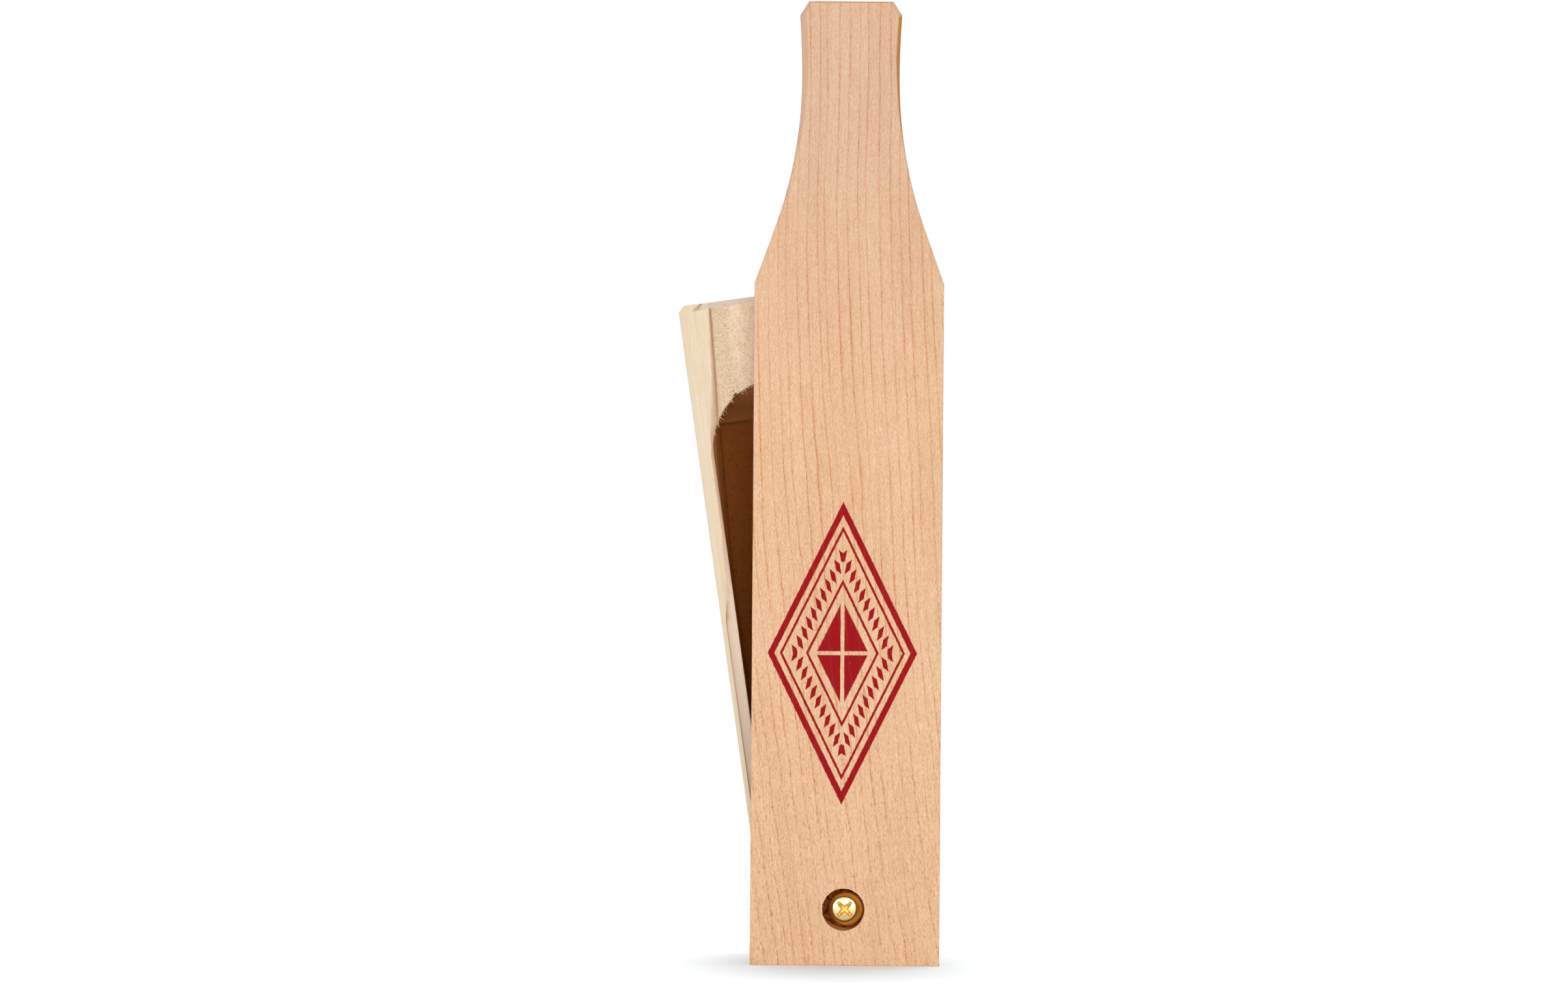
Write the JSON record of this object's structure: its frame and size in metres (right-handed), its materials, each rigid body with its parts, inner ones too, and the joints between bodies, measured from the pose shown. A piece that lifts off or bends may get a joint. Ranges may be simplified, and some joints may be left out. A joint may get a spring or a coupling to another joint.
{
  "type": "box bird call",
  "caption": "Wooden box call: a milled sound box under a paddle lid that swings and rocks on a sprung screw, and sounds as it strokes the rims.",
  "frame": {"origin": "middle of the square end of the lid, on which the call stands", "axes": "+Z along the lid to the tip of its handle, -Y out of the lid's face, +X to the right of someone who looks at that face"},
  "size_m": [0.0623, 0.0457, 0.226],
  "materials": {
    "box_wood": "satin",
    "lid_wood": "satin",
    "brass": "polished",
    "spring_steel": "bright drawn"
  },
  "bodies": {
    "box": {"sound_box": "box_wood"},
    "screw": {"lid_screw": "brass"},
    "spring": {"lid_spring": "spring_steel"},
    "lid": {"lid": "lid_wood"}
  },
  "joints": [
    {"name": "screw_turn", "type": "hinge", "parent": "box", "child": "screw", "pos_m": [0, 0.0066, 0.0131], "axis": [0, 1, 0], "range_deg": [-90, 90]},
    {"name": "lid_swing", "type": "hinge", "parent": "box", "child": "spring", "pos_m": [0, 0.0066, 0.0131], "axis": [0, 1, 0], "continuous": true},
    {"name": "lid_rock", "type": "hinge", "parent": "spring", "child": "lid", "pos_m": [0, 0.00015, 0.0161], "axis": [1, 0, 0], "range_deg": [0, 6], "stiffness_Nm_per_rad": 0.02, "springref_deg": -47.56, "deforming": ["lid_spring"]}
  ]
}
